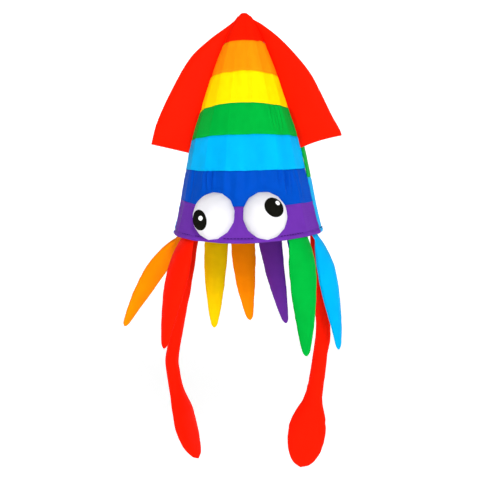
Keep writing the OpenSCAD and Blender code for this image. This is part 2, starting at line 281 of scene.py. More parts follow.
class Nodes:
    """Makes and links shader nodes in one line each."""

    def __init__(self, name):
        self.material = bpy.data.materials.new(name)
        self.material.use_nodes = True
        self.tree = self.material.node_tree
        self.shader = self.tree.nodes["Principled BSDF"]

    def add(self, kind, settings=None, **inputs):
        node = self.tree.nodes.new("ShaderNode" + kind)
        for key, value in (settings or {}).items():
            setattr(node, key, value)
        for key, value in inputs.items():
            self.link(value, node, key.replace("_", " "))
        return node

    def link(self, value, node, socket):
        numbered = socket[0] == "i" and socket[1:].isdigit()
        target = node.inputs[int(socket[1:]) if numbered else socket]
        if isinstance(value, bpy.types.NodeSocket):
            self.tree.links.new(value, target)
        else:
            target.default_value = value


PAINTED_SHEEN_ACROSS = 28 * MM  # size of the streaks of painted sheen, a satin's lights and darks painted into its colour
PAINTED_SHEEN_ALONG = 70 * MM
DULL_SPECULAR = 0.015  # low, so that the dyes stay deep
WAVE_SCALE = 0.314  # a wave texture of this scale repeats once in a metre of cloth


def fabric(name, colour, rough=0.5, sheen=0.05, thread=0.7 * MM, relief=0.07 * MM, tone=0.10,
           mottle=0.012, fuzz=0.0):
    """Cloth: crossed threads and fine slubs in the bump; random blotches of tone and broad streaks
    of painted sheen in the colour.
    """
    n = Nodes(name)
    uv = n.add("UVMap", {"uv_map": "cloth"}).outputs["UV"]
    across = n.add("TexWave", {"bands_direction": "X"}, Vector=uv, Scale=WAVE_SCALE / thread,
                   Distortion=0.6, Detail=1.0).outputs["Fac"]
    along = n.add("TexWave", {"bands_direction": "Y"}, Vector=uv, Scale=WAVE_SCALE / thread,
                  Distortion=0.6, Detail=1.0).outputs["Fac"]
    weave = n.add("Math", {"operation": "MULTIPLY"}, i0=across, i1=along).outputs[0]
    slubs = n.add("TexNoise", Vector=uv, Scale=0.35 / thread, Detail=3.0).outputs["Fac"]
    height = n.add("Math", {"operation": "MULTIPLY_ADD"}, i0=slubs, i1=0.8 + fuzz,
                   i2=weave).outputs[0]
    bump = n.add("Bump", Height=height, Distance=relief, Strength=1.0)
    blotches = n.add("TexNoise", Vector=uv, Scale=1 / mottle, Detail=2.0).outputs["Fac"]
    mixed = n.add("Math", {"operation": "MULTIPLY_ADD"}, i0=weave, i1=0.25, i2=blotches).outputs[0]
    # Broad stretched streaks of painted sheen: lighter and darker strips, a satin's play of light,
    # mixed into the base colour
    stretched = n.add("Mapping", Vector=uv, Scale=(1 / PAINTED_SHEEN_ACROSS, 1 / PAINTED_SHEEN_ALONG, 1)).outputs[0]
    painted_sheen = n.add("TexNoise", Vector=stretched, Scale=1.0, Detail=1.0).outputs["Fac"]
    mixed = n.add("Math", {"operation": "MULTIPLY_ADD"}, i0=painted_sheen, i1=2.2, i2=mixed).outputs[0]
    share = n.add("MapRange", Value=mixed, From_Min=1.1, From_Max=2.4).outputs[0]
    base = np.array(linear(colour))
    dark, light = base * (1 - tone), np.minimum(base * (1 + tone), 1)
    dark[3] = light[3] = 1
    tint = n.add("Mix", {"data_type": "RGBA"}, i0=share, i6=tuple(dark), i7=tuple(light))
    n.link(tint.outputs[2], n.shader, "Base Color")
    n.link(bump.outputs["Normal"], n.shader, "Normal")
    n.shader.inputs["Roughness"].default_value = rough
    n.shader.inputs["Sheen Weight"].default_value = sheen
    n.shader.inputs["Sheen Roughness"].default_value = 0.5
    n.shader.inputs["Sheen Tint"].default_value = linear(colour)
    n.shader.inputs["Specular IOR Level"].default_value = DULL_SPECULAR
    return n.material


CLOTHS = {
    "red": fabric("red_satin", (248, 24, 2)),
    "orange": fabric("orange_satin", (253, 140, 8)),
    "yellow": fabric("yellow_satin", (255, 216, 2)),
    "green": fabric("green_satin", (0, 164, 54)),
    "sky": fabric("sky_satin", (0, 168, 230)),
    "blue": fabric("blue_satin", (0, 72, 180)),
    "purple": fabric("purple_satin", (102, 46, 158)),
    "navy": fabric("navy_satin", (22, 48, 150)),
    "amber": fabric("amber_satin", (255, 132, 0)),
    # A darker copy of the yellow with painted shade, for the yellow arm that hangs at the back in
    # the hat's shadow
    "gold": fabric("gold_satin", (240, 200, 4)),
    # A copy of the orange for the orange arm, its colour raised to make up for the shade it hangs
    # in under the hat: painted light
    "lit_orange": fabric("lit_orange_satin", (255, 138, 2)),
}
PLUSH = fabric("white_plush", (241, 240, 245), rough=0.8, sheen=0.15, thread=0.6 * MM,
               relief=0.3 * MM, tone=0.05, fuzz=1.0)
BLACK_FELT = fabric("black_felt", (22, 22, 17), rough=0.95, sheen=0.15, thread=0.6 * MM,
                    relief=0.25 * MM, tone=0.5, mottle=0.002, fuzz=2.0)
WHITE_FELT = fabric("white_felt", (250, 250, 250), rough=0.9, sheen=0.2, thread=0.6 * MM,
                    relief=0.15 * MM, tone=0.02, fuzz=2.0)
LINING = fabric("lining_cloth", (46, 46, 52), rough=0.6, tone=0.12)
SWEATBAND = fabric("sweatband_cloth", (28, 28, 32), rough=0.85, thread=1.6 * MM,
                   relief=0.3 * MM, tone=0.15)
THREAD = fabric("purple_thread", (58, 22, 104), rough=0.6, thread=0.25 * MM, relief=0.1 * MM)
FOAM = fabric("foam", (236, 232, 222), rough=0.95, thread=1.1 * MM, relief=0.3 * MM, fuzz=2.0)

BAND_CLOTH = {
    "purple_band": "purple", "blue_band": "blue", "sky_band": "sky", "green_band": "green",
    "yellow_band": "yellow", "orange_band": "orange", "red_tip": "red",
    "sky_back_panel": "sky", "green_back_panel": "green", "yellow_back_panel": "yellow",
    "orange_back_panel": "orange", "red_back_panel": "red",
}
ARM_CLOTH = {
    "red_arm": "red", "amber_arm": "amber", "yellow_arm": "gold", "orange_arm": "lit_orange",
    "purple_arm": "purple", "navy_arm": "navy", "sky_arm": "sky", "green_arm": "green",
}


# ---- Cone -----------------------------------------------------------------------------------

# Creases in the front panel: angle in degrees, then top, bottom, half width and depth in
# millimetres
CREASES = [(-31, 87, 62, 1.8, 3.2), (-26.5, 87, 62, 2.0, 3.8), (36.5, 87, 64, 1.8, 3.0),
           (43, 87, 56, 2.0, 3.6), (48.5, 87, 62, 1.8, 3.0), (57, 88, 46, 2.0, 1.0),
           (38, 169, 140, 1.3, 1.6), (45, 169, 134, 1.3, 1.8), (52, 169, 142, 1.3, 1.3),
           (-50, 90, 46, 2.0, 1.0), (-8, 90, 50, 3.5, 1.3), (4, 90, 50, 3.5, 1.3),
           (18, 90, 60, 3.0, 1.0)]
# Height of the seam under a band above its level line, in millimetres: middle, left, right
SEAM_SAG = {"blue_band": (0, 7, 2.5), "sky_band": (-1.8, 1.5, 0.5), "green_band": (0.5, -2, 0.4),
            "yellow_band": (1.8, -4, -1.2), "orange_band": (0.8, -1, -2), "red_tip": (0, -1.5, 0)}
# Where the cone swells at its right side, and where the back panel is drawn in beside the left
# seam: angle, half width, height off the plain cone
RIGHT_SWELL = (math.radians(94), math.radians(18), 4.8 * MM)
LEFT_HOLLOW = (math.radians(281), math.radians(9), -1.0 * MM)
SWELL_TOP, SWELL_FADE = 190 * MM, 40 * MM  # where both have died away, and how softly
HEM_FLARE = 1.6 * MM  # how far the cover spreads at the hem
HEM_RISE = 6.5 * MM  # how much higher the hem runs at the sides than in front and behind
# Angles of the upright lines on which the foam is bent; the cloth is flatter between them
FOLDS = {True: np.r_[-SEAM_ANGLE, np.radians([-57, -35, -13, 14, 36, 57]), SEAM_ANGLE],
         False: np.r_[SEAM_ANGLE, np.radians([103, 129, 155, 181, 207, 232, 257]),
                      2 * np.pi - SEAM_ANGLE]}
FOLD_WANDER = 0.03  # how far the folds stray, in radians
FACET_SHARE = 0.9  # how much of a flat facet's depth the soft foam shows
CLOTH_LIFT = 0.2 * MM  # the cloth's height over the plain cone
WAVE, RIPPLE = 0.9 * MM, 0.25 * MM  # broad and small unevenness of the cloth
BAND_DENT, BAND_PUCKER = 0.7 * MM, 0.28 * MM  # at the seams between bands
SIDE_DENT, SIDE_PUCKER = 0.9 * MM, 0.3 * MM  # at the side seams
STITCH_DENT, HEM_ROLL = 1.2 * MM, 1.0 * MM  # at the hem stitching and below it
EYE_DENT = 1.7 * MM  # where an eye's edge presses on the cone
SEAM_SHAKE, SEAM_SWING = 0.5 * MM, 0.2 * MM  # how unevenly the seams between bands run
COLS_PER_RADIAN = 84
ROW_HEIGHT = 1.5 * MM
TURNED_ROWS = 2  # rows of points that fold under at each seamed edge
TURNED_STEP = 0.9 * MM  # how far each of them lies deeper than the last
HEM_DEPTHS = [6.2 * MM, 2.6 * MM]  # depths and heights of the rows that wrap the hem
HEM_HEIGHTS = [0.6 * MM, -0.9 * MM]
FOAM_OUTER, FOAM_INNER = 1.5 * MM, 4.8 * MM  # depths of the layers' faces under the cone
LINING_DEPTH = 4.95 * MM
BAND_DEPTH, BAND_THICK = 5.9 * MM, 1.0 * MM
STITCH_PITCH, STITCH_LENGTH, STITCH_R = 4.2 * MM, 3.2 * MM, 0.5 * MM
STITCH_SINK = 0.5 * MM


def cone_r(z):
    return RIM_R * smooth(z / HAT_H, CONE)


def hem_rise(a):
    return HEM_RISE * np.sin(a) ** 2


def panel_span(front):
    """The middle of a panel and half the angle that it covers."""
    return (0, SEAM_ANGLE) if front else (np.pi, np.pi - SEAM_ANGLE)


def band_edge(names, i):
    """Height of the lower edge of band i."""
    return 0.0 if i == 0 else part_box(names[i - 1])[1].z


def facet_depth(a, front):
    """0 on a fold, rising to the depth of a flat facet midway, for a cone one unit in radius."""
    folds = FOLDS[front]
    i = np.clip(np.searchsorted(folds, a, "right") - 1, 0, len(folds) - 2)
    half = (folds[i + 1] - folds[i]) / 2
    x = (a - folds[i]) / half - 1
    return (1 - np.cos(half)) * (1 - x**2)


def side_swell(a, z):
    """How far the sides' shape differs from the plain cone, from the hem to below the fins."""
    right, left = (lift * bell(a - at, width) for at, width, lift in (RIGHT_SWELL, LEFT_HOLLOW))
    left = np.where((a > np.pi) & (a < 2 * np.pi - SEAM_ANGLE), left, 0)
    return (right + left) * fade(SWELL_TOP - z, SWELL_FADE)


def cone_relief(a, z, edges, front, creased=True):
    """How far the cloth stands off the plain cone: soft facets, dents, seams and creases."""
    r = cone_r(z)
    s = a * r
    seed = 1 if front else 11
    strayed = a + FOLD_WANDER * soft_noise(z / (50 * MM), 2.5, seed)
    out = CLOTH_LIFT - FACET_SHARE * facet_depth(strayed, front) * r * fade(HAT_H - z, 40 * MM)
    out += WAVE * soft_noise(s / (36 * MM), z / (120 * MM), seed) * fade(HAT_H - z, 30 * MM)
    out += RIPPLE * soft_noise(s / (12 * MM), z / (50 * MM), seed + 1)
    for k, edge in enumerate(edges):
        d = np.abs(z - edge)
        out -= BAND_DENT * bell(d, 1.5 * MM)
        pucker = soft_noise(s / (4.2 * MM), k + 0.5, seed + 2)
        out += BAND_PUCKER * pucker * np.exp(-d / (6 * MM))
    middle, half = panel_span(front)
    to_seam = (half - np.abs(a - middle)) * r
    out -= SIDE_DENT * bell(to_seam, 2 * MM)
    pucker = soft_noise(z / (5 * MM), 3, seed + 3)
    out += SIDE_PUCKER * pucker * np.exp(-np.abs(to_seam) / (7 * MM))
    above = z - hem_rise(a)
    out -= STITCH_DENT * bell(above - HEM_STITCH_Z, 1.1 * MM)
    out += HEM_ROLL * bell(above - HEM_STITCH_Z / 2, 1.8 * MM)
    out += HEM_FLARE * np.exp(-z / (28 * MM))
    out += side_swell(a, z)
    if front and creased:
        out += crease_relief(a, z, r)
    if front:
        for angle, _, _ in EYES.values():
            across = (a - math.radians(angle)) * r / EYE_HALF_W
            e = np.hypot(across, (z - EYE_Z) / EYE_HALF_H)
            out -= EYE_DENT * bell((e - 1) * EYE_HALF_W, 5 * MM)
    return out


def crease_relief(a, z, r):
    """Upright creases that hang from a seam, each with a soft ridge on either side."""
    out = np.zeros_like(r)
    for angle, top, bottom, width, depth in CREASES:
        width, depth = width * MM, depth * MM
        across = (a - math.radians(angle)) * r + 2 * MM * soft_noise(z / (30 * MM), angle, 5)
        run = fade(top * MM + 1 * MM - z, 3 * MM) * fade(z - bottom * MM, 12 * MM)
        out -= depth * run * bell(across, width)
        out += 0.6 * depth * run * bell(np.abs(across) - 2.2 * width, width)
    return out


def cone_grid(a, z, off):
    """Points off the cone's surface by off, square to it."""
    slope = (cone_r(z + MM) - cone_r(z - MM)) / (2 * MM)
    lean = 1 / np.sqrt(1 + slope**2)
    r = np.maximum(cone_r(z) + off * lean, 0)
    return outward(a) * r[..., None] + np.stack([0 * z, 0 * z, z - off * lean * slope], axis=-1)


def wobble(names, a, i):
    """How far the seam below band i strays from level, as stitched cloth does."""
    centre, left, right = SEAM_SAG.get(names[i], (0, 0, 0))
    bow = centre + (np.where(a < 0, left, right) - centre) * (a / math.radians(65)) ** 2
    return bow * MM + SEAM_SHAKE * soft_noise(a * 3.2, i, 21) + SEAM_SWING * np.cos(a * 13)


def cloth_band(names, i, front):
    """One band of the cone's cover, from seam to seam, its edges turned in."""
    last = i + 1 == len(names)
    low = band_edge(names, i)
    high = HAT_H - TIP_GAP if last else band_edge(names, i + 1)
    edges = [band_edge(names, k) for k in range(1, len(names))]
    middle, half = panel_span(front)
    a = middle + np.linspace(-half, half, int(2 * half * COLS_PER_RADIAN))
    rows = int((high - low) / ROW_HEIGHT) + 2 * TURNED_ROWS
    t = np.clip((np.arange(rows) - TURNED_ROWS) / (rows - 1 - 2 * TURNED_ROWS), 0, 1)
    top = high + (0 if last else wobble(names, a, i + 1))
    bottom = low + (wobble(names, a, i) if i else hem_rise(a))
    z = bottom + np.outer(t, np.ones_like(a)) * (top - bottom)
    aa = np.broadcast_to(a, z.shape)
    off = cone_relief(aa, z, edges, front)
    folded = np.abs(np.arange(rows) - (rows - 1) / 2) - (rows - 1) / 2 + TURNED_ROWS
    fold = np.clip(folded, 0, TURNED_ROWS)[:, None] * TURNED_STEP
    if last:
        fold[rows // 2:] = 0
    outer = cone_grid(aa, z, off - fold)
    inner = cone_grid(aa, z, off - fold - SKIN)
    if i == 0:
        wrap_hem(a, off[TURNED_ROWS], outer, inner)
    uv = np.stack([aa * RIM_R, z], axis=-1)
    name = names[i]
    piece = shell(name + "_cloth", outer, inner, uv, CLOTHS[BAND_CLOTH[name]])
    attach(piece, "hat")
    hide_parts(name)


def wrap_hem(a, off, outer, inner):
    """Turns the lowest rows of the grids under the foam and up to the sweatband."""
    rise = hem_rise(a)
    for row, (depth, height) in enumerate(zip(HEM_DEPTHS, HEM_HEIGHTS)):
        ground = cone_grid(a, np.zeros_like(a), off - depth)
        outer[row] = ground
        outer[row][:, 2] = height + rise
        inner[row] = ground
        inner[row][:, 2] = height + rise + SKIN
    outer[TURNED_ROWS][:, 2] = rise


def foam_layer():
    """The foam, which lies close under the cover and shares its bends."""
    a = np.linspace(-SEAM_ANGLE, 2 * np.pi - SEAM_ANGLE, 360)
    aa, zz = np.meshgrid(a, np.linspace(0.6 * MM, 0.97 * HAT_H, 110))
    zz = zz + hem_rise(aa) * (1 - zz / HAT_H)
    front = aa < SEAM_ANGLE
    relief = np.where(front, cone_relief(aa, zz, [], True), cone_relief(aa, zz, [], False))
    outer = cone_grid(aa, zz, relief - FOAM_OUTER)
    inner = cone_grid(aa, zz, np.full_like(aa, -FOAM_INNER))
    uv = np.stack([aa * RIM_R, zz], axis=-1)
    piece = shell("foam_core", outer, inner, uv, FOAM)
    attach(piece, "hat")
    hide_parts("foam_cone")


def lathe_inside(name, z, depth, thick, ripple, material, node):
    """A layer inside the cone, right round."""
    aa, zz = np.meshgrid(np.linspace(-np.pi, np.pi, 240), z)
    zz = zz + hem_rise(aa) * (1 - zz / HAT_H)
    off = -depth + ripple * soft_noise(np.cos(aa) * 9, np.sin(aa) * 9 + zz / 0.05, 31)
    outer = cone_grid(aa, zz, off)
    inner = cone_grid(aa, zz, off - thick)
    uv = np.stack([aa * RIM_R, zz], axis=-1)
    piece = shell(name, outer, inner, uv, material)
    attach(piece, "hat")
    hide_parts(node)


def stitch_row(name, places, directions, length, radius, material):
    """Short rounded stitches of thread, one mesh."""
    sides, rings = 8, 5
    t = np.linspace(-1, 1, rings)
    swell = np.sqrt(np.maximum(1 - (t * 0.98) ** 4, 0.02))
    points, faces, uvs = [], [], []
    for centre, (along, up) in zip(places, directions):
        side = np.cross(along, up)
        k = np.arange(sides) * 2 * np.pi / sides
        ring = np.cos(k)[:, None] * side + np.sin(k)[:, None] * up
        first = len(points)
        for ti, w in zip(t, swell):
            points.extend(centre + along * ti * length / 2 + ring * radius * w)
            uvs.extend(np.stack([k * radius, np.full(sides, ti * length)], axis=-1))
        faces.extend(quads(rings, sides, first, wrap=True).tolist())
        faces.append(list(range(first, first + sides))[::-1])
        last = first + (rings - 1) * sides
        faces.append(list(range(last, last + sides)))
    return add_mesh(name, points, faces, uvs, material)


def hem_stitches():
    count = int(2 * np.pi * RIM_R / STITCH_PITCH)
    a = np.arange(count) * 2 * np.pi / count
    for angle, _, _ in EYES.values():
        u = (np.abs((a + np.pi - math.radians(angle)) % (2 * np.pi) - np.pi)) * RIM_R
        e = np.hypot(u / (EYE_HALF_W + 2 * MM), (HEM_STITCH_Z - EYE_Z) / (EYE_HALF_H + 1 * MM))
        a = a[e > 1]
    z = HEM_STITCH_Z + hem_rise(a)
    places = cone_grid(a, z, side_swell(a, z) - STITCH_SINK)
    directions = zip(sideways(a), outward(a))
    piece = stitch_row("hem_stitches", places, directions, STITCH_LENGTH, STITCH_R, THREAD)
    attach(piece, "hat")
    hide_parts("hem_stitching")


def build_cone():
    for i in range(len(FRONT_BANDS)):
        cloth_band(FRONT_BANDS, i, True)
    for i in range(len(BACK_BANDS)):
        cloth_band(BACK_BANDS, i, False)
    lining_z = np.linspace(1 * MM, 0.96 * HAT_H, 90)
    lathe_inside("lining_cloth", lining_z, LINING_DEPTH, SKIN, 0.4 * MM, LINING, "lining")
    foam_layer()
    band_z = np.linspace(1 * MM, SWEATBAND_TOP, 16)
    lathe_inside("sweatband_cloth", band_z, BAND_DEPTH, BAND_THICK, 0.3 * MM, SWEATBAND,
                 "sweatband")
    hem_stitches()


# ---- Fins -----------------------------------------------------------------------------------

FIN_PUCKER, FIN_DENT, FIN_BEND = 0.45 * MM, 0.35 * MM, 1.6 * MM
FIN_SLIT = 0.05 * MM  # how far the inside of each cloth stays off the fin's middle plane


def build_fin(name):
    side, low_in, low_out, bow, reach, outline = FINS[name]
    rows, cols = 110, 64
    u = np.linspace(0, 1, rows)[:, None] * np.ones(cols)
    v = np.ones(rows)[:, None] * (1 - np.cos(np.linspace(0, np.pi, cols))) / 2
    low = low_in + v * (low_out - low_in) + bow * np.sin(np.pi * v)
    z = low + u * (FIN_TOP - low)
    root = cone_r(z) - 0.6 * MM
    edge = np.maximum(FIN_REACH * reach * smooth(z, outline), root + 1.5 * MM)
    x = root + v * (edge - root)
    d_root, d_edge, d_low = x - root, (edge - x) * 0.8, z - low
    near = np.minimum(np.minimum(d_edge, d_low), d_root + 4 * MM)
    full = fade(d_root, 7 * MM) * fade(d_edge, 5 * MM) * fade(d_low, 5 * MM)
    half = FIN_EDGE_HALF + (FIN_HALF - FIN_EDGE_HALF) * full
    pucker = FIN_PUCKER * soft_noise(z / (6.5 * MM), x / (6.5 * MM), 41) * np.exp(-near / (6 * MM))
    dents = FIN_DENT * soft_noise(z / (30 * MM), x / (22 * MM), 42 + side)
    bend = FIN_BEND * soft_noise(z / (60 * MM), x / (50 * MM), 45 + side) * fade(d_root, 15 * MM)
    a = np.full_like(z, side * SEAM_ANGLE)
    plane = outward(a) * x[..., None] + np.stack([0 * z, 0 * z, z], axis=-1)
    uv = np.stack([x, z], axis=-1)
    joint = JOINTS[name]
    seam = Vector(joint["pos_m"])
    away = Vector(outward(np.array(side * SEAM_ANGLE)))
    line = Vector(joint["axis"])
    away = (away - line * away.dot(line)).normalized()
    start, end = seam - away * 3 * MM, seam + away * 14 * MM
    for face, sign in (("front_cloth", -side), ("back_cloth", side)):
        y = sign * (half + (pucker + dents) * full) + bend
        y_in = sign * FIN_SLIT + bend
        outer = plane + sideways(a) * y[..., None]
        inner = plane + sideways(a) * y_in[..., None]
        if sign > 0:
            outer, inner = inner, outer
        piece = shell(f"{name}_{face}_shell", outer, inner, uv, CLOTHS["red"])
        nodes = [f"{name}_{face}"] + ([f"{name}_filling"] if face == "front_cloth" else [])
        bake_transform(piece)
        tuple(start)
        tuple(end)
        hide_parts(*nodes)


# ---- Eyes -----------------------------------------------------------------------------------

EYE_UP = math.degrees(math.atan2(0.2, 1))  # how far up the eyes' balls face
RIM_SINK = 0.9 * MM  # how deep the sewn rim lies in the cone's cloth
DOME_BUMP, DOME_GATHER = 0.45 * MM, 1.2 * MM
FELT_GRAIN = 0.6 * MM


def direction(angle, up):
    """The unit vector at an angle from the front and an elevation, in degrees."""
    a, e = math.radians(angle), math.radians(up)
    return np.array([math.cos(e) * math.sin(a), -math.cos(e) * math.cos(a), math.sin(e)])


def ball_centre(angle):
    sink = math.sqrt(BALL_R**2 - EYE_R**2)
    a = np.array([math.radians(angle)])
    return cone_grid(a, np.array([EYE_Z]), np.array([-sink]))[0]


def axes_about(axis):
    """Two unit vectors square to an axis, the first level."""
    first = np.cross([0, 0, 1], axis)
    first /= np.linalg.norm(first)
    return first, np.cross(axis, first)


def polygon_share(k, sides, phase):
    """Radius of a polygon's edge at turn k, as a share of its corners'."""
    part = 2 * np.pi / sides
    local = (k + phase) % part - part / 2
    return np.cos(part / 2) / np.cos(local)


class Eye:
    """A stuffed dome sewn round an oval on the cone, described from the middle of its ball."""

    def __init__(self, name):
        angle, self.pupil, self.glint = EYES[name]
        self.name, self.seed = name, 51 if angle < 0 else 61
        self.centre = ball_centre(angle)
        self.axis = direction(angle, EYE_UP)
        self.first, self.second = axes_about(self.axis)
        k = np.linspace(0, 2 * np.pi, 240, endpoint=False)
        share = 0.15 + 0.85 * polygon_share(k, EYE_GATHERS, self.seed)
        share = share + 0.012 * soft_noise(k * 2, 0.5, self.seed)
        z = EYE_Z + EYE_HALF_H * np.sin(k) * share * 0.955
        a = math.radians(angle) + EYE_HALF_W * np.cos(k) * share / cone_r(z)
        relief = cone_relief(a, z, [], True, creased=False)
        rim = cone_grid(a, z, relief - RIM_SINK) - self.centre
        reach = np.linalg.norm(rim, axis=-1)
        turn = np.arctan2(rim @ self.second, rim @ self.first)
        order = np.argsort(turn)
        self.turn, self.reach = turn[order], reach[order]
        self.end = np.arccos(rim @ self.axis / reach)[order]

    def radius(self, way):
        """How far the dome is from its middle along unit vectors."""
        polar = np.arccos(np.clip(way @ self.axis, -1, 1))
        turn = np.arctan2(way @ self.second, way @ self.first)
        end = np.interp(turn, self.turn, self.end, period=2 * np.pi)
        reach = np.interp(turn, self.turn, self.reach, period=2 * np.pi)
        share = np.clip(polar / end, 0, 1)
        out = BALL_R + (reach - BALL_R) * share**3
        x, y = np.cos(turn) * polar, np.sin(turn) * polar
        out = out + DOME_BUMP * soft_noise(x * 3 + 9, y * 3, self.seed + 1) * (1 - share**4)
        gather = soft_noise(turn * 3.6, 0.5, self.seed + 2) * soft_noise(turn * 9.1, 3.5, self.seed)
        return out + DOME_GATHER * gather * share**6 * (1 - share**12)

    def grid(self, axis, polar, turn, height):
        """Points at a height off the dome, given by polar angle and turn about an axis."""
        first, second = axes_about(axis)
        ring = np.cos(turn)[..., None] * first + np.sin(turn)[..., None] * second
        way = np.cos(polar)[..., None] * axis + np.sin(polar)[..., None] * ring
        return self.centre + (self.radius(way) + height)[..., None] * way

    def build(self):
        rows, cols = 64, 180
        turn = np.linspace(-np.pi, np.pi, cols, endpoint=False)
        end = np.interp(turn, self.turn, self.end, period=2 * np.pi)
        polar = np.linspace(1, 0.02, rows)[:, None] * end
        tt = np.broadcast_to(turn, polar.shape)
        grid = self.grid(self.axis, polar, tt, 0)
        uv = np.stack([np.cos(tt) * polar, np.sin(tt) * polar], axis=-1) * BALL_R
        dome = tube(self.name + "_dome", grid, uv, PLUSH)
        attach(dome, "hat")
        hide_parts(self.name + "_cloth", self.name + "_filling")
        self.disc("pupil", direction(*self.pupil), PUPIL_R, -0.3 * MM, 1.1 * MM, BLACK_FELT)
        self.disc("glint", direction(*self.glint), GLINT_R, 0.9 * MM, 0.7 * MM, WHITE_FELT)

    def disc(self, part, axis, radius, low, thick, material):
        """A felt disc that lies on the dome, with a soft cut edge."""
        turn = np.linspace(0, 2 * np.pi, 72, endpoint=False)
        profile = [(1.0, 0), (1.01, 0.35), (0.99, 0.75), (0.96, 1.0)]
        profile += [(s, 1.0) for s in np.linspace(0.9, 0.06, 12)]
        share, height = np.array(profile).T
        wavy = 1 + 0.012 * soft_noise(turn * 3, 0.5, self.seed + 3)
        polar = share[:, None] * wavy * radius / BALL_R
        tt = np.broadcast_to(turn, polar.shape)
        x, y = np.cos(tt) * polar * BALL_R, np.sin(tt) * polar * BALL_R
        fluff = 0.08 * MM * soft_noise(x / FELT_GRAIN, y / FELT_GRAIN, 72)
        off = low + height[:, None] * thick + fluff
        grid = self.grid(axis, polar, tt, off)
        piece = tube(f"{self.name}_{part}_felt", grid, np.stack([x, y], axis=-1), material)
        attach(piece, "hat")
        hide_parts(f"{self.name}_{part}")


# ---- Arms -----------------------------------------------------------------------------------

SEAM_WIDTH = 0.9 * MM
SLEEVE_DENT, SLEEVE_PUCKER = 0.5 * MM, 0.45 * MM  # at the two seams of a sleeve
SLEEVE_LUMP, SLEEVE_RIPPLE = 0.55 * MM, 0.2 * MM
FULL_HALF_T = 8 * MM  # sleeves thinner than this have their relief scaled down


def sections(t, centre, angle, twist):
    """Centres, wide and thin directions along a curve, the wide one twisted round it."""
    step = 0.01
    along = centre(t + step) - centre(t - step)
    along /= np.linalg.norm(along, axis=-1, keepdims=True)
    flat = np.broadcast_to(sideways(np.array(angle)), along.shape)
    w = flat - along * (flat * along).sum(-1, keepdims=True)
    w /= np.linalg.norm(w, axis=-1, keepdims=True)
    n = np.cross(along, w)
    c, s = np.cos(twist)[:, None], np.sin(twist)[:, None]
    return centre(t), w * c + n * s, n * c - w * s


def stuffed_sleeve(name, t, centre, angle, twist, half_w, half_t, length, seed, material,
                   crease=None):
    """A stuffed sleeve of two sewn panels, its root bent round the hem."""
    cols = 56
    k = (np.arange(cols) * 2 * np.pi / cols)[None]
    cos, sin = np.cos(k), np.sin(k)
    mid, w, n = sections(t, centre, angle, twist)
    s = (t * length)[:, None]
    hw, ht = half_w[:, None], half_t[:, None]
    to_seam = np.abs(sin) * ht + 0.15 * np.abs(1 - np.abs(cos)) * hw
    x = cos * hw
    y = sin * np.abs(sin) ** 0.15 * ht
    relief = -SLEEVE_DENT * bell(to_seam, SEAM_WIDTH)
    side = np.where(cos > 0, 0.0, 7.0)
    pucker = soft_noise(s / (5.5 * MM), side, seed)
    relief = relief + SLEEVE_PUCKER * pucker * np.exp(-to_seam / (4 * MM))
    relief = relief + SLEEVE_LUMP * soft_noise(s / (20 * MM), cos * 1.5 + 4, seed + 1)
    relief = relief + SLEEVE_RIPPLE * soft_noise(s / (8 * MM), sin * 3 + 9, seed + 2)
    if crease:
        at, spread, first, last, depth = crease
        run = fade(s / length - first, 0.05) * fade(last - s / length, 0.05)
        turn = np.abs((k - math.radians(at) + np.pi) % (2 * np.pi) - np.pi)
        relief = relief - depth * run * bell(turn, math.radians(spread))
    relief = relief * np.clip(ht / FULL_HALF_T, 0.15, 1)
    nx, ny = cos / np.maximum(hw, MM), sin / np.maximum(ht, MM)
    norm = np.sqrt(nx**2 + ny**2)
    x = x + relief * nx / norm
    y = y + relief * ny / norm
    y = y - x**2 / (2 * ROOT_R) * np.exp(-np.maximum(s, 0) / (25 * MM))
    grid = mid[:, None] + x[..., None] * w[:, None] + y[..., None] * n[:, None]
    uv = np.stack([np.broadcast_to(k * 11 * MM, x.shape), np.broadcast_to(s, x.shape)], axis=-1)
    return tube(name, grid, uv, material)


def rounded_end(t, start):
    """1 until start, then down to 0 at t = 1 as a round end."""
    return np.sqrt(np.clip(1 - np.clip((t - start) / (1 - start), 0, 1) ** 2, 0, 1))


def finish_sleeve(piece, parent, body, before):
    """Bakes a sleeve's placement into its mesh and hides its body's CAD cloth and filling; parent
    and before are not used.
    """
    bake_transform(piece)
    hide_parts(body + "_cloth", body + "_filling")


def root_of(body):
    """Angle and radius of the seam that an arm hangs from."""
    x, y, _ = JOINTS[body]["pos_m"]
    return math.atan2(x, -y), math.hypot(x, y)


def build_arm(name, seed):
    lean, lean_curve, side, side_curve, twist = ARMS[name]
    angle, radius = root_of(name)
    drop = ARM_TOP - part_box(name + "_cloth")[0].z + 0.5 * MM

    def centre(t):
        t = t[:, None]
        inside = np.minimum(t, 0)
        out = radius + (lean * np.maximum(t, 0) + lean_curve * t**2) * MM
        out += (min(lean, ROOT_LEAN) * MM + ROOT_IN * drop) * inside
        run = outward(np.array(angle)) * out
        return (run + sideways(np.array(angle)) * (side * t + side_curve * t**2) * MM
                + np.array([0, 0, 1]) * (ARM_TOP - drop * t))

    top = -(ROOT_UP + hem_rise(angle)) / drop
    t = top + (1 - top) * np.sin(np.linspace(0, np.pi / 2, 90))
    t[-1] = 0.9995
    down = np.clip(t, 0, 1)
    taper = (0.2 + 0.8 * (1 - down**2) ** 0.9) * rounded_end(down, ARM_END)
    half_w = ARM_HALF_W * taper
    half_t = ARM_HALF_T * taper * (1 - 0.8 * np.exp(-down / 0.1))
    half_t = np.minimum(half_t, half_w)
    turn = math.radians(twist) * smooth(t, ARM_TWIST)
    piece = stuffed_sleeve(name + "_sleeve", t, centre, angle, turn, half_w, half_t, drop, seed,
                           CLOTHS[ARM_CLOTH[name]])
    finish_sleeve(piece, "hat", name, 3 * MM)


